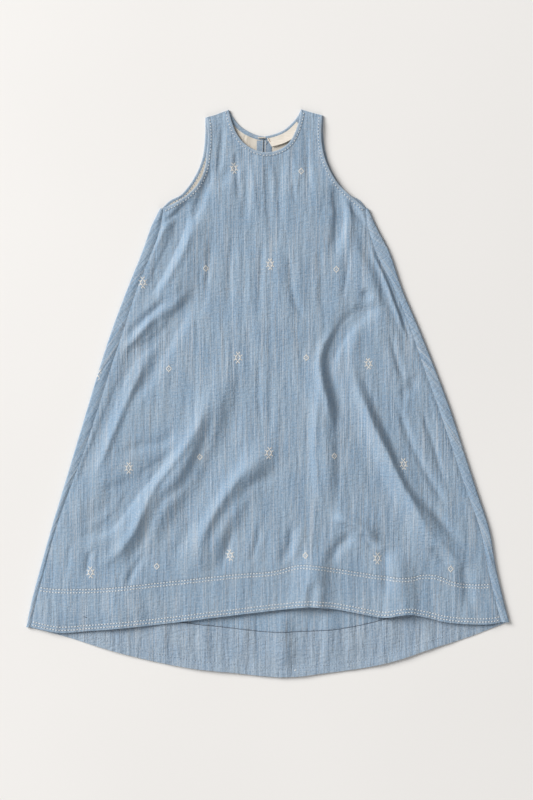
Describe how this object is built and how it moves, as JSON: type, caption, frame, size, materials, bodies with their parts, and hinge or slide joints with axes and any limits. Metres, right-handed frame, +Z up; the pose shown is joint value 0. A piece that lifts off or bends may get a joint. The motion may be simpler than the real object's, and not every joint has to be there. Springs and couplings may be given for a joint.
{
  "type": "swing dress",
  "caption": "Sleeveless trapeze dress laid flat, with a hem longer at the back, bound neck and armholes, and a slit at the back neck.",
  "frame": {"origin": "middle of the underside, where the back lies on the surface", "axes": "+Y from the hem to the neck, +X to the right as seen from above, +Z up, out of the front"},
  "size_m": [0.965, 1.1341, 0.0225],
  "materials": {
    "chambray": "pale blue slub chambray, plain weave with uneven vertical streaks, matte",
    "chambray_trim": "the same chambray cut on the bias, topstitched in white",
    "cream_lining": "cream plain weave cotton, matte",
    "woven_label": "cream woven tape, bare",
    "cream_thread": "cream cotton thread, whipped"
  },
  "bodies": {
    "root": {"front_panel": "chambray", "front_hem_band": "chambray", "back_panel": "chambray", "back_hem_facing": "chambray", "back_neck_lining": "cream_lining", "neck_binding_front": "chambray_trim", "neck_binding_back_left": "chambray_trim", "neck_binding_back_right": "chambray_trim", "armhole_binding_left_front": "chambray_trim", "armhole_binding_left_back": "chambray_trim", "armhole_binding_right_front": "chambray_trim", "armhole_binding_right_back": "chambray_trim", "slit_placket_left": "chambray_trim", "slit_placket_right": "chambray_trim", "slit_thread_bar": "cream_thread", "label": "woven_label"}
  },
  "joints": []
}
